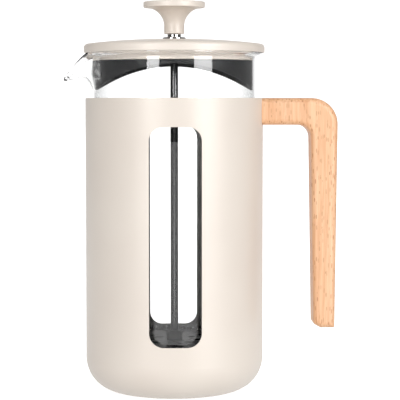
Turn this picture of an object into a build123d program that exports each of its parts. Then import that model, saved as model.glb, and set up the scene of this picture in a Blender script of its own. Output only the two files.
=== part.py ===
from build123d import *
import os
from math import sqrt

# French press, one litre: a glass beaker in a drawn steel sleeve with a wooden handle.
# Millimetres, +Z up.  The origin is the middle of the underside, on the table.
# The handle points along +X, the spout along -X, and the two windows face -Y and +Y.

# ---------------------------------------------------------------- driving sizes

# Sleeve: deep-drawn steel cup, painted outside
sleeve_height = 174.0       # top edge above the table
sleeve_wall = 0.8
sleeve_gap = 3.7            # air between the beaker and the sleeve
sleeve_corner = 20.0        # outside radius of the rounded base
sleeve_lift = 0.5           # the sleeve's base hangs this far above the table
window_width = 29.9
window_sill = 32.7          # lower edge of a window above the table
window_head = 16.4          # upper edge of a window below the sleeve's top
window_corner = 8.0
edge_round = 0.25           # broken edges of the sheet

# Foot pad: silicone disc in a shallow recess of the base
pad_inset = 4.5             # pad inside the flat of the sleeve's base
pad_thickness = 1.0
pad_clearance = 0.3

# Beaker: borosilicate glass
glass_radius = 48.0         # outside of the wall
glass_wall = 1.4
glass_floor = 2.2
glass_corner = 9.0          # outside radius of the bottom edge
glass_seat = 19.0           # beaker's underside above the table
glass_rise = 27.6           # beaker's rim above the sleeve's top
rim_overhang = 3.2          # rolled rim, beyond the wall
rim_height = 2.5
rim_round = 1.2
spout_root_half_width = 18.0
spout_root_depth = 28.0     # below the spout's own edge, where it leaves the wall
spout_reach = 17.3          # tip beyond the wall
spout_fall = 15.0           # tip below the rim
spout_depth = 17.0          # underside of the trough below the rim
spout_root_drop = 1.6       # side edge below the rim, where the spout leaves the wall
spout_neck = (0.39, 0.31, 12.6)     # share of the reach, share of the fall, half width
spout_throat = (0.75, 0.61, 8.8)
spout_tip_half_width = 3.6
spout_tip_hollow = 0.9      # depth of the trough at the tip
spout_edge_lift = 0.1       # the trough's middle line above the side edge

# Beaker rest: moulded ring that carries the beaker in the sleeve
rest_wall = 1.8
rest_margin = 1.0           # top plate inside the flat of the beaker's underside
rest_foot = 8.1             # foot ring, inwards from the edge of the raised middle
rest_ribs = 8
rest_clearance = 0.05

# Handle: beech, held at the top by two screws through the sleeve
handle_arm = 15.8           # height of the arm
handle_grip_gap = 27.7      # sleeve to the inside of the grip
handle_grip = 16.0          # thickness of the grip
handle_width = 24.0
handle_foot = 38.1          # free lower end above the table
handle_taper_in = 2.0       # the inside leans out by this towards the free end
handle_taper_out = 1.4      # the outside leans in by this
handle_outer_corner = 15.5
handle_inner_corner = 7.5
handle_nose = (4.2, 2.4)    # chamfer inside the free end, along X and Z
handle_nose_round = 1.5
handle_heel_round = 0.6     # outer corner of the free end
handle_round = 4.0
joint_clearance = 0.05
screw_spacing = 13.0
screw_radius = 2.0
screw_reach = 15.0          # from the head's seat to the tip
screw_head_radius = 3.2
screw_head_height = 1.3
screw_head_sink = 0.35      # seat of a head below the face of the plate
screw_hex = 1.25            # half the socket's width over its corners
screw_hex_depth = 1.5
screw_hole_clearance = 0.2
thread_clearance = 0.03
insert_radius = 3.5
insert_length = 12.0
insert_round = 0.3
insert_sink = 1.0           # insert beyond the end of the arm
insert_hole_spare = 2.0     # blind hole beyond the insert
plate_thickness = 1.6
plate_height = 12.0
plate_width = 23.0

# Lid: painted cover over an inner collar, with a strainer guard inside the glass
lid_clearance = 1.0         # skirt to the rolled rim
lid_skirt = 1.2
lid_skirt_drop = 1.0        # skirt below the glass rim
lid_edge_height = 3.9       # shoulder above the glass rim
lid_crown_height = 6.9      # flat middle above the glass rim
lid_crown_radius = 7.6
lid_shoulder_round = 2.2
lid_sheet = 1.4
lid_rib_overhang = 1.0      # rib on the collar's flange, beyond the beaker's wall
collar_clearance = 0.35     # collar to the bore of the glass
collar_wall = 1.9
collar_drop = 5.8           # lower edge below the glass rim
collar_flange = 1.6
collar_round = 0.6
collar_flange_round = 0.3
rest_gap = 0.05             # between the glass rim and the collar's flange
guard_clearance = 0.25      # guard to the bore of the glass
guard_wall = 1.6
guard_snap = 0.05           # guard inside the collar
guard_disc_drop = 0.5       # top of the guard's disc below the glass rim
guard_arch_drop = 8.1       # top of the arch below the glass rim
guard_tip_drop = 23.1       # tips of the guard below the glass rim
guard_boss_radius = 6.6
slot_width = 1.6            # strainer slots on the spout side
slot_height = 7.0
slot_drop = 1.2             # slots below the step in the guard's wall
slot_count = 9
slot_pitch = 6.0            # degrees between slots

# Bush: turned and plated guide for the rod
bush_radius = 4.0
bush_flange_radius = 6.8
bush_flange = 1.2
bush_hub = 2.0              # plain collar above the flange
bush_round = 0.4
running_clearance = 0.06    # radial, turning or sliding fits
bush_nut_across = 12.0
bush_nut_height = 3.2
bush_nut_cut = (1.2, 0.6)   # turned corners, along X and Z
washer_radius = 7.5
washer_thickness = 0.8
face_clearance = 0.05       # axial, between faces that turn on each other

# Plunger rod and knob
rod_radius = 2.25
rod_end_gap = 0.1
knob_gap = 0.1              # knob above the bush when the plunger is down
knob_neck_radius = 5.95
knob_neck = 4.3             # straight part of the neck
knob_flare = 11.0           # radius of the trumpet flare
knob_lip = 1.25             # flat underside of the disc beyond the flare
knob_disc = 3.8
knob_crown = 0.3
knob_flat_radius = 4.0      # flat middle of the crown
knob_edge_round = 0.6
knob_insert_radius = 3.6
knob_insert_length = 9.0
knob_insert_recess = 0.5

# Filter stack, from the floor of the beaker upwards
filter_gap = 2.85           # cross plate above the floor of the beaker
cross_plate_margin = 7.2    # cross plate inside the bore of the glass
plate_sheet = 0.8
cross_hole_radius = 6.4
cross_hole_share = 0.615    # circle of the holes, as a share of the plate
cross_holes = 8
filter_boss_radius = 5.0
mesh_sheet = 0.3
mesh_gap = 0.05
mesh_edge_rise = 1.7
mesh_coil_gap = 0.5         # edge of the screen below the coil
coil_radius = 2.6
coil_clearance = 0.3        # coil to the bore of the glass
coil_shell = 0.4
coil_split = 1.2            # opening along the inside, which takes the spiral plate's edge
spiral_clearance = 0.3      # spiral plate inside the middle line of the coil
spiral_slots = 8
spiral_slot_radius = 2.1
spiral_slant = 55
spiral_rings = [(0.345, 9.0), (0.565, 12.0), (0.783, 14.0)]     # share of the radius, slot length
hub_nut_radius = 4.7
hub_nut_side = 4.4          # straight part of the nut
hub_nut_height = 5.6
hub_nut_tip_radius = 3.2
hub_nut_dome = 2.0          # radius of the rounded shoulder

cut_margin = 5.0            # how far a cutting shape runs past what it cuts

# ---------------------------------------------------------------- derived sizes

glass_bore = glass_radius - glass_wall
glass_top = sleeve_height + glass_rise
glass_floor_top = glass_seat + glass_floor

sleeve_bore = glass_radius + sleeve_gap
sleeve_radius = sleeve_bore + sleeve_wall
pad_radius = sleeve_radius - sleeve_corner - pad_inset
recess_radius = pad_radius + pad_clearance
plateau_radius = recess_radius + sleeve_wall
plateau_top = pad_thickness + sleeve_wall

handle_inside = sleeve_radius + handle_grip_gap
handle_outside = handle_inside + handle_grip
arm_middle = sleeve_height - handle_arm / 2
plate_outside = sleeve_bore - joint_clearance
plate_inside = plate_outside - plate_thickness
screw_row = [(-screw_spacing / 2, arm_middle), (screw_spacing / 2, arm_middle)]
screw_seat = sqrt(plate_inside**2 - (screw_spacing / 2 - screw_head_radius) ** 2) + screw_head_sink
insert_start = sleeve_radius + insert_sink

flange_bottom = glass_top + rest_gap
flange_top = flange_bottom + collar_flange
skirt_bore = glass_radius + rim_overhang + lid_clearance
lid_radius = skirt_bore + lid_skirt
lid_crown = glass_top + lid_crown_height
lid_underside = lid_crown - lid_sheet
collar_radius = glass_bore - collar_clearance
collar_bore = collar_radius - collar_wall
collar_bottom = glass_top - collar_drop
guard_radius = glass_bore - guard_clearance
guard_bore = guard_radius - guard_wall
guard_neck = collar_bore - guard_snap
guard_disc_top = glass_top - guard_disc_drop
guard_disc_bottom = guard_disc_top - guard_wall
guard_arch = glass_top - guard_arch_drop
guard_tip = glass_top - guard_tip_drop

bush_hole = rod_radius + running_clearance
lid_hole = bush_radius + running_clearance
washer_top = guard_disc_bottom - face_clearance
nut_top = washer_top - washer_thickness
nut_bottom = nut_top - bush_nut_height
bush_top = lid_crown + bush_flange + bush_hub

knob_bottom = bush_top + knob_gap
knob_radius = knob_neck_radius + knob_flare + knob_lip
knob_underside = knob_bottom + knob_neck + knob_flare
knob_top = knob_underside + knob_disc
knob_insert_top = knob_bottom + knob_insert_recess + knob_insert_length

cross_plate_radius = glass_bore - cross_plate_margin
cross_bottom = glass_floor_top + filter_gap
cross_top = cross_bottom + plate_sheet
mesh_bottom = cross_top + mesh_gap
filter_boss_height = mesh_gap + mesh_edge_rise + mesh_coil_gap + coil_radius - plate_sheet / 2
filter_boss_top = cross_top + filter_boss_height
spiral_top = filter_boss_top + plate_sheet
coil_ring = glass_bore - coil_clearance - coil_radius
coil_middle = filter_boss_top + plate_sheet / 2
spiral_radius = coil_ring - spiral_clearance
rod_bottom = cross_bottom + rod_end_gap
rod_top = knob_insert_top - rod_end_gap

os.makedirs("parts", exist_ok=True)

# ---------------------------------------------------------------- sleeve

# One sheet drawn to a cup.  Its middle is pushed up to take the foot pad.
with BuildPart() as sleeve:
    with BuildSketch(Plane.XZ):
        with BuildLine():
            FilletPolyline(
                (0, pad_thickness),
                (recess_radius, pad_thickness),
                (recess_radius, sleeve_lift),
                (sleeve_radius, sleeve_lift),
                (sleeve_radius, sleeve_height),
                (sleeve_bore, sleeve_height),
                (sleeve_bore, sleeve_lift + sleeve_wall),
                (plateau_radius, sleeve_lift + sleeve_wall),
                (plateau_radius, plateau_top),
                (0, plateau_top),
                radius=[0, 0, 0, sleeve_corner, edge_round, edge_round,
                        sleeve_corner - sleeve_wall, 0, 0, 0],
                close=True,
            )
        make_face()
    revolve(axis=Axis.Z)
    # front and back windows
    window_height = sleeve_height - window_head - window_sill
    with BuildSketch(Plane.XZ):
        with Locations((0, window_sill + window_height / 2)):
            RectangleRounded(window_width, window_height, window_corner)
    extrude(amount=sleeve_radius + cut_margin, both=True, mode=Mode.SUBTRACT)
    # two holes for the handle's screws
    with BuildSketch(Plane.YZ):
        with Locations(*screw_row):
            Circle(screw_radius + screw_hole_clearance)
    extrude(amount=sleeve_radius + cut_margin, mode=Mode.SUBTRACT)
sleeve.part.label = "sleeve"
export_step(sleeve.part, "parts/sleeve.step")

with BuildPart() as foot_pad:
    Cylinder(pad_radius, pad_thickness, align=(Align.CENTER, Align.CENTER, Align.MIN))
    chamfer(foot_pad.edges().sort_by(Axis.Z)[0], pad_thickness / 4)
foot_pad.part.label = "foot_pad"
export_step(foot_pad.part, "parts/foot_pad.step")

# ---------------------------------------------------------------- beaker rest

# A hat-shaped moulding: its skirt drops over the raised middle of the sleeve's base.
rest_seat = plateau_top + rest_clearance
rest_top = glass_seat - rest_clearance
rest_skirt_bore = plateau_radius + pad_clearance
rest_skirt = rest_skirt_bore + rest_wall
rest_skirt_foot = sleeve_lift + sleeve_wall + rest_clearance
rest_bore_radius = plateau_radius - rest_foot
rest_top_radius = glass_radius - glass_corner - rest_margin
with BuildPart() as beaker_rest:
    with BuildSketch(Plane.XZ):
        with BuildLine():
            Polyline(
                (rest_bore_radius, rest_seat),
                (rest_skirt_bore, rest_seat),
                (rest_skirt_bore, rest_skirt_foot),
                (rest_skirt, rest_skirt_foot),
                (rest_skirt, rest_seat + rest_wall),
                (rest_bore_radius + rest_wall, rest_seat + rest_wall),
                (rest_bore_radius + rest_wall, rest_top - rest_wall),
                (rest_top_radius, rest_top - rest_wall),
                (rest_top_radius, rest_top),
                (rest_bore_radius, rest_top),
                close=True,
            )
        make_face()
    revolve(axis=Axis.Z)
    # upright ribs between the foot and the top plate
    with BuildSketch(Plane.XY.offset(rest_seat + rest_wall)):
        with PolarLocations((rest_bore_radius + rest_skirt) / 2, rest_ribs):
            Rectangle(rest_skirt - rest_bore_radius - rest_wall, rest_wall)
    extrude(until=Until.NEXT)
beaker_rest.part.label = "beaker_rest"
export_step(beaker_rest.part, "parts/beaker_rest.step")

# ---------------------------------------------------------------- glass beaker

# The spout is a trough that falls from the rim to a narrow tip.  Each station holds its
# place along X, the height of its side edge, its half width and its depth.
spout_root = sqrt(glass_bore**2 - spout_root_half_width**2)
spout_tip = glass_radius + spout_reach
spout_stations = [(spout_root, glass_top - spout_root_drop, spout_root_half_width, spout_root_depth)]
for reach_share, fall_share, half_width in (spout_neck, spout_throat, (1, 1, spout_tip_half_width)):
    drop = spout_fall * fall_share
    station = (glass_radius + spout_reach * reach_share, glass_top - drop, half_width, spout_depth - drop)
    spout_stations.append(station)

with BuildPart() as spout_outside:
    for along, edge, half_width, depth in spout_stations:
        with BuildSketch(Plane.YZ.offset(-along)):
            with Locations((0, edge)):
                Ellipse(half_width, depth)
    loft()
    # everything above the falling side edges goes
    with BuildSketch(Plane.XZ):
        with BuildLine():
            side_edge = Spline(*[(-along, edge) for along, edge, _, _ in spout_stations])
            Polyline(
                side_edge @ 1,
                (-spout_tip - cut_margin, glass_top - spout_fall),
                (-spout_tip - cut_margin, glass_top + spout_root_depth),
                (-spout_root, glass_top + spout_root_depth),
                side_edge @ 0,
            )
        make_face()
    extrude(amount=2 * spout_root_half_width, both=True, mode=Mode.SUBTRACT)

with BuildPart() as spout_channel:
    for along, edge, half_width, depth in spout_stations:
        with BuildSketch(Plane.YZ.offset(-along)):
            with Locations((0, edge + spout_edge_lift)):
                Ellipse(half_width - glass_wall, max(depth - glass_wall, spout_tip_hollow))
    loft()
    extrude(spout_channel.faces().sort_by(Axis.X)[0], amount=cut_margin)

with BuildPart() as glass_beaker:
    with BuildSketch(Plane.XZ):
        with BuildLine():
            FilletPolyline(
                (0, glass_seat),
                (glass_radius, glass_seat),
                (glass_radius, glass_top - rim_height),
                (glass_radius + rim_overhang, glass_top - rim_height),
                (glass_radius + rim_overhang, glass_top),
                (0, glass_top),
                radius=[0, glass_corner, rim_round, rim_round, rim_round, 0],
                close=True,
            )
        make_face()
    revolve(axis=Axis.Z)
    add(spout_outside.part)
    with BuildSketch(Plane.XZ):
        with BuildLine():
            FilletPolyline(
                (0, glass_floor_top),
                (glass_bore, glass_floor_top),
                (glass_bore, glass_top + cut_margin),
                (0, glass_top + cut_margin),
                radius=[0, glass_corner - glass_wall, 0, 0],
                close=True,
            )
        make_face()
    revolve(axis=Axis.Z, mode=Mode.SUBTRACT)
    add(spout_channel.part, mode=Mode.SUBTRACT)
glass_beaker.part.label = "glass_beaker"
export_step(glass_beaker.part, "parts/glass_beaker.step")

# ---------------------------------------------------------------- handle

with BuildPart() as handle:
    with BuildSketch(Plane.XZ):
        with BuildLine():
            FilletPolyline(
                (sleeve_radius / 2, sleeve_height - handle_arm),
                (handle_inside, sleeve_height - handle_arm),
                (handle_inside + handle_taper_in, handle_foot + handle_nose[1]),
                (handle_inside + handle_taper_in + handle_nose[0], handle_foot),
                (handle_outside - handle_taper_out, handle_foot),
                (handle_outside, sleeve_height - handle_arm),
                (handle_outside, sleeve_height),
                (sleeve_radius / 2, sleeve_height),
                radius=[0, handle_inner_corner, handle_nose_round, handle_nose_round,
                        handle_heel_round, 0, handle_outer_corner, 0],
                close=True,
            )
        make_face()
    extrude(amount=handle_width / 2, both=True)
    side_faces = handle.faces().sort_by(Axis.Y)
    side_edges = side_faces[0].edges() + side_faces[-1].edges()
    hidden_end = side_edges.filter_by(Axis.Z).group_by(Axis.X)[0]
    fillet([edge for edge in side_edges if edge not in hidden_end], handle_round)
    # the end is hollowed to sit on the sleeve
    with BuildSketch(Plane.XY):
        Circle(sleeve_radius + joint_clearance)
    extrude(amount=sleeve_height + cut_margin, mode=Mode.SUBTRACT)
    # blind holes for the threaded inserts and the tips of the screws
    with BuildSketch(Plane.YZ):
        with Locations(*screw_row):
            Circle(insert_radius + thread_clearance)
    extrude(amount=insert_start + insert_length + insert_hole_spare, mode=Mode.SUBTRACT)
handle.part.label = "handle"
export_step(handle.part, "parts/handle.step")

# threaded inserts, pressed into the end of the arm
with BuildPart() as handle_inserts:
    with BuildSketch(Plane.YZ.offset(insert_start)):
        with Locations(*screw_row):
            Circle(insert_radius)
            Circle(screw_radius + thread_clearance, mode=Mode.SUBTRACT)
    extrude(amount=insert_length)
    fillet(handle_inserts.edges().filter_by(GeomType.CIRCLE).group_by(SortBy.RADIUS)[-1], insert_round)
handle_inserts.part.label = "handle_inserts"
export_step(handle_inserts.part, "parts/handle_inserts.step")

# curved plate that spreads the pull of the screws inside the sleeve
with BuildPart() as handle_backplate:
    with BuildSketch(Plane.XY.offset(arm_middle - plate_height / 2)):
        Circle(plate_outside)
        Circle(plate_inside, mode=Mode.SUBTRACT)
        with Locations((sleeve_radius, 0)):
            Rectangle(sleeve_radius, plate_width, mode=Mode.INTERSECT)
    extrude(amount=plate_height)
    fillet(handle_backplate.edges().filter_by(Axis.Z), plate_thickness / 4)
    with BuildSketch(Plane.YZ):
        with Locations(*screw_row):
            Circle(screw_radius + screw_hole_clearance)
    extrude(amount=sleeve_radius, mode=Mode.SUBTRACT)
    with BuildSketch(Plane.YZ):
        with Locations(*screw_row):
            Circle(screw_head_radius + screw_hole_clearance)
    extrude(amount=screw_seat, mode=Mode.SUBTRACT)
handle_backplate.part.label = "handle_backplate"
export_step(handle_backplate.part, "parts/handle_backplate.step")

with BuildPart() as handle_screws:
    with BuildSketch(Plane.YZ.offset(screw_seat)):
        with Locations(*screw_row):
            Circle(screw_head_radius)
    extrude(amount=-screw_head_height)
    with BuildSketch(Plane.YZ.offset(screw_seat)):
        with Locations(*screw_row):
            Circle(screw_radius)
    extrude(amount=screw_reach)
    chamfer(handle_screws.faces().group_by(Axis.X)[-1].edges(), screw_radius / 4)
    fillet(handle_screws.faces().group_by(Axis.X)[0].edges(), screw_head_height / 3)
    with BuildSketch(Plane.YZ.offset(screw_seat - screw_head_height)):
        with Locations(*screw_row):
            RegularPolygon(screw_hex, 6)
    extrude(amount=screw_hex_depth, mode=Mode.SUBTRACT)
handle_screws.part.label = "handle_screws"
export_step(handle_screws.part, "parts/handle_screws.step")

# ---------------------------------------------------------------- lid

# Painted cover: a low dome with a flat middle and a short skirt
with BuildPart() as lid_cover:
    shoulder = glass_top + lid_edge_height
    with BuildSketch(Plane.XZ) as cover_side:
        with BuildLine():
            dome = TangentArc((lid_crown_radius, lid_crown), (lid_radius, shoulder), tangent=(1, 0))
            ceiling = TangentArc(
                (lid_crown_radius, lid_underside), (skirt_bore, shoulder - lid_sheet), tangent=(1, 0)
            )
            Polyline(
                dome @ 1,
                (lid_radius, glass_top - lid_skirt_drop),
                (skirt_bore, glass_top - lid_skirt_drop),
                ceiling @ 1,
            )
            Polyline(ceiling @ 0, (lid_hole, lid_underside), (lid_hole, lid_crown), dome @ 0)
        make_face()
        fillet(cover_side.vertices().group_by(Axis.X)[-1].sort_by(Axis.Y)[-1], lid_shoulder_round)
        fillet(cover_side.vertices().group_by(Axis.Y)[0], lid_skirt / 4)
    revolve(axis=Axis.Z)
    # rib that bears on the flange of the collar
    with BuildSketch(Plane.XY.offset(flange_top)):
        Circle(glass_radius + lid_rib_overhang)
        Circle(glass_radius + lid_rib_overhang - lid_sheet, mode=Mode.SUBTRACT)
    extrude(until=Until.NEXT)
lid_cover.part.label = "lid_cover"
export_step(lid_cover.part, "parts/lid_cover.step")

# Collar: its flange rests on the glass rim and its wall hangs inside the glass
with BuildPart() as lid_collar:
    with BuildSketch(Plane.XZ):
        with BuildLine():
            FilletPolyline(
                (collar_bore, collar_bottom),
                (collar_radius, collar_bottom),
                (collar_radius, flange_bottom),
                (skirt_bore - joint_clearance, flange_bottom),
                (skirt_bore - joint_clearance, flange_top),
                (collar_bore, flange_top),
                radius=[0, collar_round, collar_flange_round, collar_flange_round, collar_flange_round, 0],
                close=True,
            )
        make_face()
    revolve(axis=Axis.Z)
lid_collar.part.label = "lid_collar"
export_step(lid_collar.part, "parts/lid_collar.step")

# Guard: an inverted cup with an arched lower edge, deep at the spout and at the handle
guard_foot = guard_tip - cut_margin     # the wall before the arch is cut
with BuildPart() as lid_guard:
    with BuildSketch(Plane.XZ):
        with BuildLine():
            Polyline(
                (lid_hole, lid_underside - face_clearance),
                (guard_boss_radius, lid_underside - face_clearance),
                (guard_boss_radius, guard_disc_top),
                (guard_neck, guard_disc_top),
                (guard_neck, collar_bottom - guard_snap),
                (guard_radius, collar_bottom - guard_snap),
                (guard_radius, guard_foot),
                (guard_bore, guard_foot),
                (guard_bore, collar_bottom - guard_wall),
                (guard_neck - guard_wall, collar_bottom - guard_wall),
                (guard_neck - guard_wall, guard_disc_bottom),
                (lid_hole, guard_disc_bottom),
                close=True,
            )
        make_face()
    revolve(axis=Axis.Z)
    # the arch is cut straight through from front to back, and runs on past the wall
    arch_rise = guard_arch - guard_tip
    arch_radius = (guard_radius**2 + arch_rise**2) / (2 * arch_rise)
    arch_side = guard_radius + cut_margin
    arch_end = guard_arch - arch_radius + sqrt(arch_radius**2 - arch_side**2)
    arch_foot = guard_foot - cut_margin
    with BuildSketch(Plane.XZ):
        with BuildLine():
            arch = ThreePointArc((-arch_side, arch_end), (0, guard_arch), (arch_side, arch_end))
            Polyline(
                arch @ 1,
                (arch_side, arch_foot),
                (-arch_side, arch_foot),
                arch @ 0,
            )
        make_face()
    extrude(amount=arch_side, both=True, mode=Mode.SUBTRACT)
    # upright strainer slots that face the spout
    slot_middle = collar_bottom - guard_wall - slot_drop - slot_height / 2
    slot_span = (slot_count - 1) * slot_pitch
    for slot in range(slot_count):
        turn = 180 - slot_span / 2 + slot * slot_pitch
        with BuildSketch(Plane.YZ.rotated((0, 0, turn))):
            with Locations((0, slot_middle)):
                SlotOverall(slot_height, slot_width, rotation=90)
        extrude(amount=guard_radius + cut_margin, mode=Mode.SUBTRACT)
lid_guard.part.label = "lid_guard"
export_step(lid_guard.part, "parts/lid_guard.step")

# ---------------------------------------------------------------- bush

with BuildPart() as rod_bush:
    with BuildSketch(Plane.XZ):
        with BuildLine():
            bush_seat = lid_crown + face_clearance
            FilletPolyline(
                (bush_hole, nut_bottom),
                (bush_radius, nut_bottom),
                (bush_radius, bush_seat),
                (bush_flange_radius, bush_seat),
                (bush_flange_radius, lid_crown + bush_flange),
                (bush_radius, lid_crown + bush_flange),
                (bush_radius, bush_top),
                (bush_hole, bush_top),
                radius=[0, bush_round, 0, bush_round / 2, bush_round, bush_round, bush_round, 0],
                close=True,
            )
        make_face()
    revolve(axis=Axis.Z)
rod_bush.part.label = "rod_bush"
export_step(rod_bush.part, "parts/rod_bush.step")

with BuildPart() as bush_washer:
    with BuildSketch(Plane.XY.offset(nut_top)):
        Circle(washer_radius)
        Circle(bush_radius + thread_clearance, mode=Mode.SUBTRACT)
    extrude(amount=washer_thickness)
    fillet(bush_washer.edges().filter_by(GeomType.CIRCLE).group_by(SortBy.RADIUS)[-1], washer_thickness / 4)
bush_washer.part.label = "bush_washer"
export_step(bush_washer.part, "parts/bush_washer.step")

with BuildPart() as bush_nut:
    with BuildSketch(Plane.XY.offset(nut_bottom)):
        RegularPolygon(bush_nut_across / 2, 6, major_radius=False)
        Circle(bush_radius + thread_clearance, mode=Mode.SUBTRACT)
    extrude(amount=bush_nut_height)
    # turned corners
    with BuildSketch(Plane.XZ):
        with BuildLine():
            Polyline(
                (bush_nut_across / 2, nut_bottom),
                (bush_nut_across / 2 + bush_nut_cut[0], nut_bottom + bush_nut_cut[1]),
                (bush_nut_across / 2 + bush_nut_cut[0], nut_bottom),
                close=True,
            )
        make_face()
    revolve(axis=Axis.Z, mode=Mode.SUBTRACT)
bush_nut.part.label = "bush_nut"
export_step(bush_nut.part, "parts/bush_nut.step")

# ---------------------------------------------------------------- plunger rod and knob

with BuildPart() as plunger_rod:
    with Locations((0, 0, rod_bottom)):
        Cylinder(rod_radius, rod_top - rod_bottom, align=(Align.CENTER, Align.CENTER, Align.MIN))
    chamfer(plunger_rod.edges().filter_by(GeomType.CIRCLE), rod_radius / 5)
plunger_rod.part.label = "plunger_rod"
export_step(plunger_rod.part, "parts/plunger_rod.step")

# Knob: straight neck, trumpet flare and a flat disc with a slight crown, hollow at the foot
with BuildPart() as knob:
    with BuildSketch(Plane.XZ) as knob_side:
        with BuildLine():
            flare_start = knob_bottom + knob_neck
            crown_start = knob_top - knob_crown
            socket_radius = knob_insert_radius + thread_clearance
            socket_top = knob_insert_top + rod_end_gap
            foot = Polyline(
                (0, socket_top),
                (socket_radius, socket_top),
                (socket_radius, knob_bottom),
                (knob_neck_radius, knob_bottom),
                (knob_neck_radius, flare_start),
            )
            flare = CenterArc((knob_neck_radius + knob_flare, flare_start), knob_flare, 180, -90)
            edge = Polyline(flare @ 1, (knob_radius, knob_underside), (knob_radius, crown_start))
            crown = TangentArc((knob_flat_radius, knob_top), edge @ 1, tangent=(1, 0))
            Polyline(crown @ 0, (0, knob_top), foot @ 0)
        make_face()
        fillet(knob_side.vertices().group_by(Axis.X)[-1], knob_edge_round)
        fillet(knob_side.vertices().group_by(Axis.Y)[0].sort_by(Axis.X)[-1], knob_edge_round / 2)
    revolve(axis=Axis.Z)
knob.part.label = "knob"
export_step(knob.part, "parts/knob.step")

with BuildPart() as knob_insert:
    with BuildSketch(Plane.XY.offset(knob_bottom + knob_insert_recess)):
        Circle(knob_insert_radius)
        Circle(rod_radius + running_clearance, mode=Mode.SUBTRACT)
    extrude(amount=knob_insert_length)
knob_insert.part.label = "knob_insert"
export_step(knob_insert.part, "parts/knob_insert.step")

# ---------------------------------------------------------------- filter stack

# Cross plate: bottom of the stack, with the threaded boss that the rod screws into
with BuildPart() as cross_plate:
    with BuildSketch(Plane.XY.offset(cross_bottom)):
        Circle(cross_plate_radius)
        with PolarLocations(cross_plate_radius * cross_hole_share, cross_holes):
            Circle(cross_hole_radius, mode=Mode.SUBTRACT)
    extrude(amount=plate_sheet)
    with BuildSketch(Plane.XY.offset(cross_top)):
        Circle(filter_boss_radius)
    extrude(amount=filter_boss_height)
    with BuildSketch(Plane.XY.offset(cross_bottom)):
        Circle(rod_radius + running_clearance)
    extrude(amount=plate_sheet + filter_boss_height, mode=Mode.SUBTRACT)
cross_plate.part.label = "cross_plate"
export_step(cross_plate.part, "parts/cross_plate.step")

# Mesh screen: a shallow dish of woven wire, here one thin sheet
with BuildPart() as mesh_screen:
    mesh_top = mesh_bottom + mesh_sheet
    mesh_hole = filter_boss_radius + mesh_gap
    mesh_edge = coil_ring + coil_radius / 2
    with BuildSketch(Plane.XZ):
        with BuildLine():
            Polyline(
                (mesh_hole, mesh_bottom),
                (cross_plate_radius, mesh_bottom),
                (mesh_edge, mesh_bottom + mesh_edge_rise - mesh_sheet),
                (mesh_edge, mesh_bottom + mesh_edge_rise),
                (cross_plate_radius, mesh_top),
                (mesh_hole, mesh_top),
                close=True,
            )
        make_face()
    revolve(axis=Axis.Z)
mesh_screen.part.label = "mesh_screen"
export_step(mesh_screen.part, "parts/mesh_screen.step")

# Spring coil: the outer shape of the wound wire, open along its inside
with BuildPart() as spring_coil:
    with BuildSketch(Plane.XZ):
        with Locations((coil_ring, coil_middle)):
            Circle(coil_radius)
            Circle(coil_radius - coil_shell, mode=Mode.SUBTRACT)
        with Locations((coil_ring - coil_radius, coil_middle)):
            Rectangle(coil_radius, coil_split, mode=Mode.SUBTRACT)
    revolve(axis=Axis.Z)
spring_coil.part.label = "spring_coil"
export_step(spring_coil.part, "parts/spring_coil.step")

# Spiral plate: pressed sheet whose edge sits in the coil, with slanted slots for the coffee
with BuildPart() as spiral_plate:
    with BuildSketch(Plane.XY.offset(filter_boss_top)):
        Circle(spiral_radius)
        Circle(rod_radius + running_clearance, mode=Mode.SUBTRACT)
        for ring_share, slot_length in spiral_rings:
            with PolarLocations(spiral_radius * ring_share, spiral_slots):
                SlotOverall(slot_length, 2 * spiral_slot_radius, rotation=spiral_slant, mode=Mode.SUBTRACT)
    extrude(amount=plate_sheet)
    fillet(spiral_plate.edges().filter_by(GeomType.CIRCLE).group_by(SortBy.RADIUS)[-1], plate_sheet / 3)
spiral_plate.part.label = "spiral_plate"
export_step(spiral_plate.part, "parts/spiral_plate.step")

# Hub nut: round lock nut on top of the stack
with BuildPart() as hub_nut:
    with BuildSketch(Plane.XZ):
        with BuildLine():
            nut_line = Polyline(
                (rod_radius + running_clearance, spiral_top + hub_nut_height),
                (rod_radius + running_clearance, spiral_top),
                (hub_nut_radius, spiral_top),
                (hub_nut_radius, spiral_top + hub_nut_side),
            )
            nut_tip = (hub_nut_tip_radius, spiral_top + hub_nut_height)
            dome = RadiusArc(nut_line @ 1, nut_tip, -hub_nut_dome)
            Line(dome @ 1, nut_line @ 0)
        make_face()
    revolve(axis=Axis.Z)
hub_nut.part.label = "hub_nut"
export_step(hub_nut.part, "parts/hub_nut.step")
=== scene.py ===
# %% [markdown]
# # A French press, finished around its CAD frame
#
# The press comes in as a imported CAD frame: every part at its true size, grouped in bodies
# that move. This lesson dresses that frame. It sets up a small studio, makes each
# finish from nodes, and models the pieces that a plain CAD solid can't show: the blown glass
# and the wound spring. The woven screen keeps its CAD shape and gets its weave in a finish.
# All lengths are metres, and +Z is up.

# %% Load the frame
from math import atan2, cos, exp, hypot, pi, radians, sin
import bpy
import bmesh
from mathutils import Matrix, Vector


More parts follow.
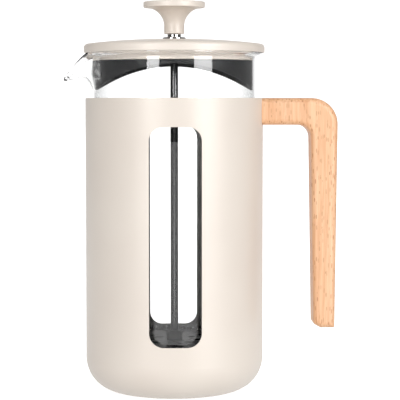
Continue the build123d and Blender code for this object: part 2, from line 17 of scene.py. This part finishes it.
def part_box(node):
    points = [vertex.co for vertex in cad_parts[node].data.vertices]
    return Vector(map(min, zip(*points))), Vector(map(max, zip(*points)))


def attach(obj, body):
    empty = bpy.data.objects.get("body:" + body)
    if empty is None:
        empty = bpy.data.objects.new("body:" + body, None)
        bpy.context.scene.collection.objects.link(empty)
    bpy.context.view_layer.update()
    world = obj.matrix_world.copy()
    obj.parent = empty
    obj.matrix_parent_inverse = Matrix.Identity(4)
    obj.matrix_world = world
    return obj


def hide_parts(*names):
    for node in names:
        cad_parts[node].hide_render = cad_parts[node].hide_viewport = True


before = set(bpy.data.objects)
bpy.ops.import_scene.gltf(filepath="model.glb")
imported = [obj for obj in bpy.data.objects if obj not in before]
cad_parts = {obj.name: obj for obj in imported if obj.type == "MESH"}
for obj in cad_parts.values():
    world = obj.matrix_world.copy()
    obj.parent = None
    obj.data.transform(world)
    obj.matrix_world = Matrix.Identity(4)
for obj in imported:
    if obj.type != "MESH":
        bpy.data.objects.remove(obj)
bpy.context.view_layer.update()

MM = 0.001

# %% [markdown]
# ## Camera
#
# A long lens far from the press keeps its sides nearly parallel. The
# camera stands level with the top of the sleeve and tilts down a little, so the lid is seen
# from just below and the base from above. It stands a hair to the spout's side of the windows'
# axis, and turns a touch towards the handle, which leaves room for it.

# %% Camera
camera_distance = 0.965
eye_height = 0.172
lens_length = 146.4
tilt_down = 3.47
stand_left = 0.65        # degrees round the press
turn_right = 0.905

camera = bpy.data.objects.new("studio_camera", bpy.data.cameras.new("studio_camera"))
camera.data.sensor_width = 36.0
camera.data.lens = lens_length
camera.location = (
    -camera_distance * sin(radians(stand_left)), -camera_distance * cos(radians(stand_left)), eye_height
)
camera.rotation_euler = (radians(90.0 - tilt_down), 0.0, radians(-stand_left - turn_right))
bpy.context.scene.collection.objects.link(camera)
bpy.context.scene.camera = camera
print("camera at", tuple(camera.location), "with a", lens_length, "mm lens")

# %% [markdown]
# ## Floor and light
#
# Glass and bright metal show what stands around them, so the studio is part of their look.
# The backdrop is white, which makes clear glass read as clear. The front of the room is dark
# apart from two tall soft boxes, one each side of the camera. They draw narrow white panes on
# the glass and leave the black plastic behind it black. The world tells mirror rays about the
# dark front, lights matt surfaces softly from the front, and shows plain white to every ray
# that has met neither.

# %% World
scene = bpy.context.scene
scene.view_settings.view_transform = "Standard"
scene.cycles.use_denoising = True
scene.cycles.max_bounces = 24
scene.cycles.transmission_bounces = 20
scene.cycles.glossy_bounces = 8
scene.cycles.transparent_max_bounces = 16


def new_node(tree, kind, **settings):
    """Add one node. A setting that names an input sets its value, any other sets a property."""
    node = tree.nodes.new(kind)
    for name, value in settings.items():
        socket = node.inputs.get(name.replace("_", " "))
        if socket is not None and not hasattr(node, name):
            socket.default_value = value
        else:
            setattr(node, name, value)
    return node


def light_from(tree, direction, *stops):
    """A sky whose brightness depends on the angle to one direction. Stops run from -1 to 1."""
    place = new_node(tree, "ShaderNodeTexCoord")
    along = new_node(tree, "ShaderNodeVectorMath", operation="DOT_PRODUCT")
    along.inputs[1].default_value = Vector(direction).normalized()
    half = new_node(tree, "ShaderNodeMath", operation="MULTIPLY_ADD")
    half.inputs[1].default_value = 0.5
    half.inputs[2].default_value = 0.5
    ramp = new_node(tree, "ShaderNodeValToRGB")
    while len(ramp.color_ramp.elements) < len(stops):
        ramp.color_ramp.elements.new(0.5)
    brightest = max(level for _, level in stops)
    for element, (position, level) in zip(ramp.color_ramp.elements, stops):
        element.position = position / 2 + 0.5
        element.color = (level / brightest, level / brightest, level / brightest, 1.0)
    sky = new_node(tree, "ShaderNodeBackground", Strength=brightest)
    tree.links.new(place.outputs["Generated"], along.inputs[0])
    tree.links.new(along.outputs["Value"], half.inputs[0])
    tree.links.new(half.outputs[0], ramp.inputs["Fac"])
    tree.links.new(ramp.outputs["Color"], sky.inputs["Color"])
    return sky.outputs[0]


def studio_world():
    world = bpy.data.worlds.new("white_room")
    world.use_nodes = True
    tree = world.node_tree
    tree.nodes.clear()
    rays = new_node(tree, "ShaderNodeLightPath")
    seen = new_node(tree, "ShaderNodeBackground", Strength=1.3)
    seen.inputs["Color"].default_value = (1.0, 1.0, 1.0, 1.0)
    mirrored = light_from(tree, (0.0, 1.0, 0.0), (0.0, 0.10), (0.80, 0.16), (0.97, 1.1))
    diffused = light_from(tree, (0.17, -0.98, 0.22), (-1.0, 0.05), (-0.6, 0.1), (1.0, 1.27))
    first = new_node(tree, "ShaderNodeMixShader")
    second = new_node(tree, "ShaderNodeMixShader")
    output = new_node(tree, "ShaderNodeOutputWorld")
    wire = tree.links.new
    wire(rays.outputs["Glossy Depth"], first.inputs["Fac"])
    wire(seen.outputs[0], first.inputs[1])
    wire(mirrored, first.inputs[2])
    wire(rays.outputs["Diffuse Depth"], second.inputs["Fac"])
    wire(first.outputs[0], second.inputs[1])
    wire(diffused, second.inputs[2])
    wire(second.outputs[0], output.inputs["Surface"])
    return world


scene.world = studio_world()
print("world:", scene.world.name)

# %% Soft boxes


def stand(thing, turn, distance, height):
    """Put a light beside the camera, turned towards the press. turn is measured from the front."""
    thing.location = (distance * sin(radians(turn)), -distance * cos(radians(turn)), height)
    aim = Vector((0.0, 0.0, 0.15)) - thing.location
    thing.rotation_euler = aim.to_track_quat("-Z", "Y").to_euler()
    thing.visible_camera = False
    scene.collection.objects.link(thing)


def soft_box(name, turn, distance, height, width, tall, power, pane):
    """An area light, and in front of it a bright pane that only mirrors see."""
    light = bpy.data.lights.new(name, "AREA")
    light.shape = "RECTANGLE"
    light.size = width
    light.size_y = tall
    light.energy = power
    lamp = bpy.data.objects.new(name, light)
    lamp.visible_glossy = False
    stand(lamp, turn, distance, height)
    glow = bpy.data.materials.new(name + "_glow")
    glow.use_nodes = True
    glow.node_tree.nodes.clear()
    emission = new_node(glow.node_tree, "ShaderNodeEmission", Strength=pane)
    surface = new_node(glow.node_tree, "ShaderNodeOutputMaterial")
    glow.node_tree.links.new(emission.outputs[0], surface.inputs["Surface"])
    sheet = bpy.data.meshes.new(name + "_pane")
    shape = bmesh.new()
    bmesh.ops.create_grid(shape, x_segments=1, y_segments=1, size=0.5)
    bmesh.ops.scale(shape, vec=(width, tall, 1.0), verts=shape.verts)
    shape.to_mesh(sheet)
    shape.free()
    sheet.materials.append(glow)
    front = bpy.data.objects.new(name + "_pane", sheet)
    front.visible_diffuse = False
    front.visible_shadow = False
    stand(front, turn, distance - 0.01, height)


soft_box("soft_box_left", -30.0, 1.15, 0.42, 0.36, 1.1, 0.8, 8.0)
soft_box("soft_box_right", 40.0, 1.15, 0.42, 0.55, 1.1, 1.6, 8.0)

# %% Floor
floor_mesh = bpy.data.meshes.new("floor")
floor_shape = bmesh.new()
bmesh.ops.create_grid(floor_shape, x_segments=1, y_segments=1, size=6.0)
floor_shape.to_mesh(floor_mesh)
floor_shape.free()
floor = bpy.data.objects.new("floor", floor_mesh)
scene.collection.objects.link(floor)
floor_finish = bpy.data.materials.new("pale_floor")
floor_finish.use_nodes = True
floor_coat = floor_finish.node_tree.nodes["Principled BSDF"]
floor_coat.inputs["Base Color"].default_value = (0.9, 0.9, 0.9, 1.0)
floor_coat.inputs["Roughness"].default_value = 0.9
floor_coat.inputs["Specular IOR Level"].default_value = 0.1
floor_coat.inputs["Emission Color"].default_value = (1.0, 1.0, 1.0, 1.0)
floor_coat.inputs["Emission Strength"].default_value = 0.75
floor_mesh.materials.append(floor_finish)
floor.visible_diffuse = False
print("floor:", floor.dimensions[0], "m square")

# %% [markdown]
# ## How a finish is built
#
# Every finish starts from the Principled shader. Patterns read Object coordinates, which on
# these parts are plain metres measured from the middle of the base, so a grain or a brush
# line has its true size and stays put when a part moves. Three small helpers keep the recipes
# short: one starts a finish, one places a stretched noise, and one turns a pattern to colours.

# %% Helpers for finishes


def srgb(red, green, blue):
    """A colour given as 0 to 255 display values, as the linear colour that shaders use."""
    def linear(value):
        value /= 255.0
        return value / 12.92 if value <= 0.04045 else ((value + 0.055) / 1.055) ** 2.4
    return (linear(red), linear(green), linear(blue), 1.0)


class Finish:
    """A material with its Principled shader and its Object coordinates ready."""

    def __init__(self, name, **values):
        self.material = bpy.data.materials.new(name)
        self.material.use_nodes = True
        self.tree = self.material.node_tree
        self.shader = self.tree.nodes["Principled BSDF"]
        self.output = self.tree.nodes["Material Output"]
        self.coords = new_node(self.tree, "ShaderNodeTexCoord").outputs["Object"]
        for socket, value in values.items():
            self.shader.inputs[socket.replace("_", " ")].default_value = value

    def wire(self, source, target):
        self.tree.links.new(source, target)

    def stretched(self, scale, turn=(0.0, 0.0, 0.0)):
        """Object coordinates scaled along X, Y and Z: features per metre."""
        mapping = new_node(self.tree, "ShaderNodeMapping")
        mapping.inputs["Scale"].default_value = scale
        mapping.inputs["Rotation"].default_value = turn
        self.wire(self.coords, mapping.inputs["Vector"])
        return mapping.outputs["Vector"]

    def noise(self, vector, detail=3.0, roughness=0.5, distortion=0.0):
        texture = new_node(self.tree, "ShaderNodeTexNoise")
        texture.inputs["Scale"].default_value = 1.0
        texture.inputs["Detail"].default_value = detail
        texture.inputs["Roughness"].default_value = roughness
        texture.inputs["Distortion"].default_value = distortion
        self.wire(vector, texture.inputs["Vector"])
        return texture.outputs["Fac"]

    def ramp(self, value, *stops):
        """Colours along a pattern: each stop is a position and a colour."""
        node = new_node(self.tree, "ShaderNodeValToRGB")
        elements = node.color_ramp.elements
        while len(elements) < len(stops):
            elements.new(0.5)
        for element, (position, colour) in zip(elements, stops):
            element.position = position
            element.color = colour
        self.wire(value, node.inputs["Fac"])
        return node.outputs["Color"]

    def between(self, value, low, high):
        """The pattern value spread from low to high."""
        node = new_node(self.tree, "ShaderNodeMapRange")
        node.inputs["To Min"].default_value = low
        node.inputs["To Max"].default_value = high
        self.wire(value, node.inputs["Value"])
        return node.outputs["Result"]

    def mix(self, share, one, two, blend="MIX"):
        node = new_node(self.tree, "ShaderNodeMix", data_type="RGBA", blend_type=blend)
        for source, socket in ((share, node.inputs[0]), (one, node.inputs[6]), (two, node.inputs[7])):
            if isinstance(source, (float, tuple)):
                socket.default_value = source
            else:
                self.wire(source, socket)
        return node.outputs[2]

    def maths(self, operation, one, two=0.0):
        node = new_node(self.tree, "ShaderNodeMath", operation=operation)
        for source, socket in ((one, node.inputs[0]), (two, node.inputs[1])):
            if isinstance(source, float):
                socket.default_value = source
            else:
                self.wire(source, socket)
        return node.outputs[0]

    def bump(self, height, depth, normal=None):
        """Raise the surface by up to depth metres where the pattern is bright."""
        node = new_node(self.tree, "ShaderNodeBump")
        node.inputs["Distance"].default_value = depth
        self.wire(height, node.inputs["Height"])
        if normal is not None:
            self.wire(normal, node.inputs["Normal"])
        self.wire(node.outputs["Normal"], self.shader.inputs["Normal"])
        return node.outputs["Normal"]


def give(material, *node_names):
    """Put a finish on CAD nodes, through their material slots."""
    for node_name in node_names:
        for material_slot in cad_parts[node_name].material_slots:
            material_slot.material = material
    print(material.name, "on", ", ".join(node_names))


# %% [markdown]
# ## Satin cream paint
#
# The sleeve, lid and knob are powder coated: a warm cream with a soft sheen and a very fine
# orange-peel surface. Large soft clouds, barely visible, keep the colour from looking printed.
# The same recipe serves all painted parts. The sleeve needs one thing more: only its outside
# is painted, and its inside is bare drawn steel. Distance from the middle axis tells the two
# apart, so one material can carry both.

# %% Cream paint
cream = srgb(232, 222, 211)
cream_deep = srgb(228, 217, 206)


def cream_paint(name):
    paint = Finish(name, Roughness=0.42, Coat_Weight=0.12, Coat_Roughness=0.25)
    clouds = paint.noise(paint.stretched((18.0, 18.0, 18.0)), detail=2.0)
    paint.wire(paint.ramp(clouds, (0.35, cream_deep), (0.65, cream)), paint.shader.inputs["Base Color"])
    peel = paint.noise(paint.stretched((1400.0, 1400.0, 1400.0)), detail=2.0)
    paint.wire(paint.between(peel, 0.38, 0.48), paint.shader.inputs["Roughness"])
    paint.bump(peel, 0.004 * MM)
    return paint


give(cream_paint("cream_paint").material, "lid_cover", "knob")
collar_finish = cream_paint("cream_collar")
give(collar_finish.material, "lid_collar")

# %% Painted outside, bare steel inside
_, sleeve_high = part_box("sleeve")
sleeve_radius = sleeve_high.x
glass_radius = 48.0 * MM
paint_depth = 0.7 * MM       # how far inside the outer face the paint ends
bare_from = 21.0 * MM        # height above which the inside is bare


def painted_sleeve():
    paint = cream_paint("cream_sleeve")
    across = new_node(paint.tree, "ShaderNodeSeparateXYZ")
    paint.wire(paint.coords, across.inputs[0])
    radius = paint.maths(
        "SQRT",
        paint.maths(
            "ADD",
            paint.maths("MULTIPLY", across.outputs["X"], across.outputs["X"]),
            paint.maths("MULTIPLY", across.outputs["Y"], across.outputs["Y"]),
        ),
    )
    inside_wall = paint.maths("LESS_THAN", radius, sleeve_radius - paint_depth)
    above_base = paint.maths("GREATER_THAN", across.outputs["Z"], bare_from)
    bare = paint.maths("MULTIPLY", inside_wall, above_base)
    steel = new_node(paint.tree, "ShaderNodeBsdfPrincipled")
    steel.inputs["Metallic"].default_value = 1.0
    drawn = paint.noise(paint.stretched((220.0, 220.0, 12.0)), detail=4.0)
    steel_colour = paint.ramp(drawn, (0.3, srgb(168, 167, 164)), (0.7, srgb(196, 195, 192)))
    paint.wire(steel_colour, steel.inputs["Base Color"])
    paint.wire(paint.between(drawn, 0.36, 0.50), steel.inputs["Roughness"])
    choose = new_node(paint.tree, "ShaderNodeMixShader")
    paint.wire(bare, choose.inputs["Fac"])
    paint.wire(paint.shader.outputs[0], choose.inputs[1])
    paint.wire(steel.outputs[0], choose.inputs[2])
    paint.wire(choose.outputs[0], paint.output.inputs["Surface"])
    return paint.material


give(painted_sleeve(), "sleeve")

# %% [markdown]
# ## Oiled beech
#
# Beech is a pale pinkish wood. Its sign is the fleck: short brown dashes, a few millimetres
# long, all along the grain. The handle is cut from a board whose grain runs upright, so the
# arm shows the same upright dashes as the grip. A long stretched noise gives the growth bands,
# a finer one the fibres, and thin stretched cells, most of them left blank, the flecks.

# %% Beech


def oiled_beech():
    wood = Finish("oiled_beech", Roughness=0.45, Coat_Weight=0.08, Coat_Roughness=0.3)
    bands = wood.noise(wood.stretched((95.0, 95.0, 7.0)), detail=3.0, distortion=0.6)
    colour = wood.ramp(
        bands,
        (0.30, srgb(228, 164, 116)),
        (0.48, srgb(240, 184, 138)),
        (0.62, srgb(246, 195, 152)),
        (0.78, srgb(234, 172, 126)),
    )
    fibres = wood.noise(wood.stretched((900.0, 900.0, 45.0)), detail=4.0)
    fibre_colour = wood.ramp(fibres, (0.35, srgb(214, 150, 104)), (0.62, srgb(255, 214, 172)))
    colour = wood.mix(0.35, colour, fibre_colour)
    cells = new_node(wood.tree, "ShaderNodeTexVoronoi", feature="F1")
    cells.inputs["Scale"].default_value = 1.0
    cells.inputs["Randomness"].default_value = 1.0
    wood.wire(wood.stretched((980.0, 980.0, 250.0), (0.0, radians(8.0), 0.0)), cells.inputs["Vector"])
    near = wood.maths("LESS_THAN", cells.outputs["Distance"], 0.38)
    pick = new_node(wood.tree, "ShaderNodeSeparateColor")
    wood.wire(cells.outputs["Color"], pick.inputs[0])
    chosen = wood.maths("GREATER_THAN", pick.outputs[0], 0.60)
    fleck = wood.maths("MULTIPLY", near, chosen)
    strength = wood.maths("MULTIPLY", fleck, wood.between(pick.outputs[1], 0.25, 0.8))
    colour = wood.mix(strength, colour, srgb(190, 122, 78))
    wood.wire(colour, wood.shader.inputs["Base Color"])
    wood.wire(wood.between(fibres, 0.40, 0.55), wood.shader.inputs["Roughness"])
    wood.bump(wood.maths("SUBTRACT", fibres, fleck), 0.02 * MM)
    return wood.material


give(oiled_beech(), "handle")

# %% [markdown]
# ## Metals
#
# The bush is bright and plated. The rod is drawn and polished, but its colour is set far
# darker than polished steel: painted shade, for the dark inside of the sleeve that it mirrors.
# The filter plates are pressed from satin sheet, and they and the hub nut are given darker
# metal than stainless steel has: painted shade, for the dim bottom of the sleeve. Each gets a
# fine noise in its roughness, which breaks the reflections up a little, and the turned parts
# get rings round the middle axis.

# %% Bright and satin metals


def metal(name, dark, light, smooth, rough, grain, depth=0.0):
    finish = Finish(name, Metallic=1.0)
    scratches = finish.noise(finish.stretched(grain), detail=4.0)
    finish.wire(finish.ramp(scratches, (0.3, dark), (0.7, light)), finish.shader.inputs["Base Color"])
    finish.wire(finish.between(scratches, smooth, rough), finish.shader.inputs["Roughness"])
    if depth:
        finish.bump(scratches, depth)
    return finish.material


# Painted shade: the rod's colour is far darker than polished steel, for the dark sleeve it mirrors.
polished_rod = metal(
    "polished_rod", srgb(84, 84, 85), srgb(100, 100, 101), 0.10, 0.18, (150.0, 150.0, 1600.0)
)
bright_plate = metal(
    "bright_plate", srgb(200, 199, 198), srgb(224, 223, 222), 0.05, 0.12, (300.0, 300.0, 2200.0)
)
# Painted shade: both filter plate steels, also used on the hub nut, are darker than real stainless
# steel.
satin_steel_with_painted_shade = metal(
    "satin_steel_with_painted_shade", srgb(92, 92, 91), srgb(122, 121, 119), 0.38, 0.52, (700.0, 90.0, 700.0), 0.003 * MM
)
pressed_steel_with_painted_shade = metal(
    "pressed_steel_with_painted_shade", srgb(54, 54, 53), srgb(74, 73, 72), 0.46, 0.60, (90.0, 700.0, 700.0), 0.004 * MM
)
fastener_steel = metal(
    "fastener_steel", srgb(150, 150, 152), srgb(186, 186, 187), 0.22, 0.36, (900.0, 900.0, 900.0)
)
turned_brass = metal(
    "turned_brass", srgb(190, 150, 84), srgb(222, 184, 112), 0.2, 0.34, (300.0, 300.0, 1500.0)
)
give(polished_rod, "plunger_rod")
give(bright_plate, "rod_bush")
give(satin_steel_with_painted_shade, "cross_plate")
give(pressed_steel_with_painted_shade, "spiral_plate", "hub_nut")
give(fastener_steel, "handle_screws", "bush_nut", "bush_washer", "handle_backplate")
give(turned_brass, "handle_inserts", "knob_insert")

# %% [markdown]
# ## Black plastic and silicone
#
# The guard and the rest ring are moulded in black polypropylene with the faint grain of the
# mould. The foot pad is dark silicone, softer and more matt, and picks up a little dust.

# %% Mouldings


def moulded(name, dark, light, smooth, rough, grain, depth):
    finish = Finish(name)
    skin = finish.noise(finish.stretched((grain, grain, grain)), detail=3.0)
    finish.wire(finish.ramp(skin, (0.35, dark), (0.7, light)), finish.shader.inputs["Base Color"])
    finish.wire(finish.between(skin, smooth, rough), finish.shader.inputs["Roughness"])
    finish.bump(skin, depth)
    return finish.material


black_polypropylene = moulded(
    "black_polypropylene", srgb(22, 23, 24), srgb(31, 32, 34), 0.36, 0.52, 900.0, 0.006 * MM
)
foot_silicone = moulded(
    "foot_silicone", srgb(48, 48, 48), srgb(66, 65, 63), 0.62, 0.78, 500.0, 0.01 * MM
)
give(black_polypropylene, "lid_guard", "beaker_rest")
give(foot_silicone, "foot_pad")

# %% [markdown]
# ## Clear glass
#
# Borosilicate glass bends light a little less than window glass, and has next to no colour.
# What the eye reads as its outline is the long way that light takes through a wall seen edge
# on. Here that outline is painted shade: the glass colour turns grey where a surface is seen
# edge on, so the glass is clear face on and grey at its edges.

# %% Glass finish


def clear_glass():
    glass = Finish("clear_glass", Roughness=0.0, IOR=1.47, Transmission_Weight=1.0)
    facing = new_node(glass.tree, "ShaderNodeLayerWeight")
    facing.inputs["Blend"].default_value = 0.35
    # Painted shade: the colour turns grey where the glass is seen edge on, to draw its dark outline.
    painted_edge_shade = glass.ramp(
        facing.outputs["Facing"],
        (0.0, (1.0, 1.0, 1.0, 1.0)),
        (0.80, (0.97, 0.98, 0.98, 1.0)),
        (1.0, (0.42, 0.44, 0.44, 1.0)),
    )
    glass.wire(painted_edge_shade, glass.shader.inputs["Base Color"])
    return glass.material


glass_finish = clear_glass()

# %% [markdown]
# ## The beaker
#
# A real beaker is blown in a mould, its rim is rolled while hot, and the spout is pulled out
# of the soft rim with a tool. The model is made the same way. A profile of the wall is spun
# round the middle axis, and then the part of the wall on the spout's side is drawn out along
# a path: up the wall, over a bend, and out to the tip. Halfway round, each point moves only
# part of the way, and the trough forms by itself with walls of even thickness.

# %% Beaker: sizes
beaker_low, beaker_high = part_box("glass_beaker")
wall = 1.4 * MM
base_thickness = 2.2 * MM
base_corner = 9.0 * MM
bead_height = 2.5 * MM
bead_neck = 0.8 * MM         # the wall begins to swell this far below the bead
lip_radius = 0.7 * MM
fine_depth = 30 * MM         # the wall has fine rings this far below the rim, for the spout
bead_overhang = beaker_high.x - glass_radius
beaker_top = beaker_high.z
spout_tip = -beaker_low.x
beaker_height = round((beaker_top - beaker_low.z) / MM, 1)
print("beaker:", beaker_height, "mm tall, spout tip at", round(spout_tip / MM, 1))

# %% Beaker: spun wall


def corner_arc(centre_x, centre_z, radius, start, end, steps):
    """Points along an arc, from start to end degrees, anticlockwise from +X."""
    turns = [radians(start + (end - start) * step / steps) for step in range(steps + 1)]
    return [(centre_x + radius * cos(turn), centre_z + radius * sin(turn)) for turn in turns]


def straight(start, end, steps):
    return [
        (start[0] + (end[0] - start[0]) * step / steps, start[1] + (end[1] - start[1]) * step / steps)
        for step in range(1, steps)
    ]


def beaker_profile():
    """The outline of the wall from the middle of the underside, round the rim, to the inside."""
    bottom = beaker_low.z
    outer_corner = corner_arc(glass_radius - base_corner, bottom + base_corner, base_corner, -90, 0, 12)
    bead_radius = bead_height / 2
    neck = (glass_radius, beaker_top - bead_height - bead_neck)
    bead_middle = glass_radius + bead_overhang - bead_radius
    bead = corner_arc(bead_middle, beaker_top - bead_radius, bead_radius, -100, 90, 12)
    inner_radius = glass_radius - wall
    lip = corner_arc(inner_radius + lip_radius, beaker_top - lip_radius, lip_radius, 90, 180, 5)
    inner_corner_radius = base_corner - wall
    inner_corner = corner_arc(
        inner_radius - inner_corner_radius,
        bottom + base_thickness + inner_corner_radius,
        inner_corner_radius,
        0,
        -90,
        12,
    )
    flat_radius = glass_radius * 0.4
    outer_start = (glass_radius, beaker_top - fine_depth)
    inner_start = (inner_radius, beaker_top - fine_depth)
    outline = [(0.0, bottom), (flat_radius, bottom)] + outer_corner
    outline += straight(outer_corner[-1], outer_start, 5) + [outer_start]
    outline += straight(outer_start, neck, 26) + [neck]
    outline += bead + lip
    outline += straight(lip[-1], inner_start, 28) + [inner_start]
    outline += straight(inner_start, inner_corner[0], 5) + inner_corner
    outline += [(flat_radius, bottom + base_thickness), (0.0, bottom + base_thickness)]
    return outline


def spun(outline, steps):
    """A closed body of revolution from an outline in the XZ plane, as a bmesh."""
    shape = bmesh.new()
    points = [shape.verts.new((x, 0.0, z)) for x, z in outline]
    edges = [shape.edges.new(pair) for pair in zip(points, points[1:])]
    bmesh.ops.spin(
        shape,
        geom=points + edges,
        cent=(0, 0, 0),
        axis=(0, 0, 1),
        angle=2 * pi,
        steps=steps,
        use_merge=True,
    )
    bmesh.ops.remove_doubles(shape, verts=shape.verts, dist=0.002 * MM)
    bmesh.ops.recalc_face_normals(shape, faces=shape.faces)
    return shape


beaker_shape = spun(beaker_profile(), 240)
print("beaker faces:", len(beaker_shape.faces))

# %% Beaker: the spout is pulled from the rim
pull_depth = 25.6 * MM        # how far down the wall the tool reaches
bend_reach = 7.0 * MM         # the bend under the trough, out from the wall
bend_rise = 8.6 * MM          # and up
pull_width = radians(10.5)    # half width of the pull at the rim


def trough_path(share):
    """A point on the underside of the trough and the way out of the glass there. share runs 0 to 1."""
    bend_length = 0.5 * pi * (bend_reach + bend_rise) / 2
    run = spout_tip - glass_radius - bend_reach
    along = share * (bend_length + run)
    foot = beaker_top - pull_depth
    if along < bend_length:
        turn = 0.5 * pi * along / bend_length
        place = Vector((glass_radius + bend_reach * (1 - cos(turn)), foot + bend_rise * sin(turn)))
        heading = Vector((bend_reach * sin(turn), bend_rise * cos(turn))).normalized()
    else:
        place = Vector((glass_radius + bend_reach + along - bend_length, foot + bend_rise))
        heading = Vector((1.0, 0.0))
    outward = Vector((heading.y, -heading.x))
    return place, outward


for point in beaker_shape.verts:
    radius = hypot(point.co.x, point.co.y)
    height = point.co.z - (beaker_top - pull_depth)
    if height <= 0 or radius < glass_radius / 2:
        continue
    turn = atan2(point.co.y, -point.co.x)
    share = min(height / pull_depth, 1.0)
    pull = exp(-((turn / pull_width) ** 2))
    if pull < 0.0005:
        continue
    outward_depth = radius - glass_radius
    if outward_depth > 0:
        outward_depth *= 1 - 0.8 * pull
    place, outward = trough_path(share)
    target = place + outward * outward_depth
    drop = pull ** 1.5
    new_radius = radius + (target.x - radius) * pull
    new_height = point.co.z + (target.y - point.co.z) * drop
    point.co = Vector((-new_radius * cos(turn), new_radius * sin(turn), new_height))


def finished(shape, name, material, smooth=True):
    """Turn a bmesh into an object at the origin."""
    mesh = bpy.data.meshes.new(name)
    for face in shape.faces:
        face.smooth = smooth
    shape.to_mesh(mesh)
    shape.free()
    mesh.materials.append(material)
    piece = bpy.data.objects.new(name, mesh)
    scene.collection.objects.link(piece)
    print(name, "has", len(mesh.polygons), "faces")
    return piece


beaker = finished(beaker_shape, "blown_beaker", glass_finish)
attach(beaker, "beaker")
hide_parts("glass_beaker")

# %% [markdown]
# ## The wound spring
#
# The filter's edge is a long, thin spring bent into a ring. It presses the screen to the glass
# all round. A spin with a rise at each step winds a straight spring, and then the spring is
# wrapped round the filter: distance along it becomes angle round the middle axis.

# %% Spring coil
coil_low, coil_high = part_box("spring_coil")
coil_radius = (coil_high.z - coil_low.z) / 2
coil_ring = coil_high.x - coil_radius
coil_middle = (coil_high.z + coil_low.z) / 2
wire_radius = 0.42 * MM
coil_turns = 80
turn_steps = 12


def wound_spring():
    shape = bmesh.new()
    length = 2 * pi * coil_ring
    pitch = length / coil_turns
    section = bmesh.ops.create_circle(shape, segments=6, radius=wire_radius)["verts"]
    bmesh.ops.rotate(shape, verts=section, cent=(0, 0, 0), matrix=Matrix.Rotation(pi / 2, 3, "X"))
    bmesh.ops.translate(shape, verts=section, vec=(coil_radius - wire_radius, 0, 0))
    bmesh.ops.spin(
        shape,
        geom=shape.verts[:] + shape.edges[:],
        cent=(0, 0, 0),
        axis=(0, 0, 1),
        dvec=(0, 0, pitch / turn_steps),
        angle=2 * pi * coil_turns,
        steps=coil_turns * turn_steps,
    )
    for point in shape.verts:
        angle = point.co.z / coil_ring
        reach = coil_ring + point.co.x
        point.co = Vector((reach * cos(angle), reach * sin(angle), coil_middle + point.co.y))
    bmesh.ops.remove_doubles(shape, verts=shape.verts, dist=0.02 * MM)
    bmesh.ops.recalc_face_normals(shape, faces=shape.faces)
    return shape


spring_finish = metal(
    "spring_wire", srgb(206, 206, 205), srgb(236, 236, 235), 0.12, 0.22, (800.0, 800.0, 800.0)
)
spring = finished(wound_spring(), "wound_spring", spring_finish)
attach(spring, "plunger")
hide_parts("spring_coil")

# %% [markdown]
# ## The woven screen
#
# The screen is a disc of fine woven wire with its edge turned up under the spring. The wires
# are far too fine to model one by one, so the screen keeps its CAD shape and the weave goes
# in its finish: two sets of fine ridges, one along X and one along Y, that pass over each other.

# %% Screen

def woven_wire():
    cloth = Finish("woven_wire", Metallic=1.0, Roughness=0.34)
    split = new_node(cloth.tree, "ShaderNodeSeparateXYZ")
    cloth.wire(cloth.stretched((1600.0, 1600.0, 1600.0)), split.inputs[0])
    warp = cloth.maths("ABSOLUTE", cloth.maths("SINE", split.outputs["X"]))
    weft = cloth.maths("ABSOLUTE", cloth.maths("SINE", split.outputs["Y"]))
    weave = cloth.maths("MULTIPLY", warp, weft)
    # Painted shade: the colour darkens in the low gaps between the wires, where the weave dips.
    weave_with_painted_gap_shade = cloth.ramp(weave, (0.0, srgb(60, 60, 60)), (0.6, srgb(160, 160, 160)))
    cloth.wire(weave_with_painted_gap_shade, cloth.shader.inputs["Base Color"])
    cloth.bump(weave, 0.08 * MM)
    return cloth.material


give(woven_wire(), "mesh_screen")
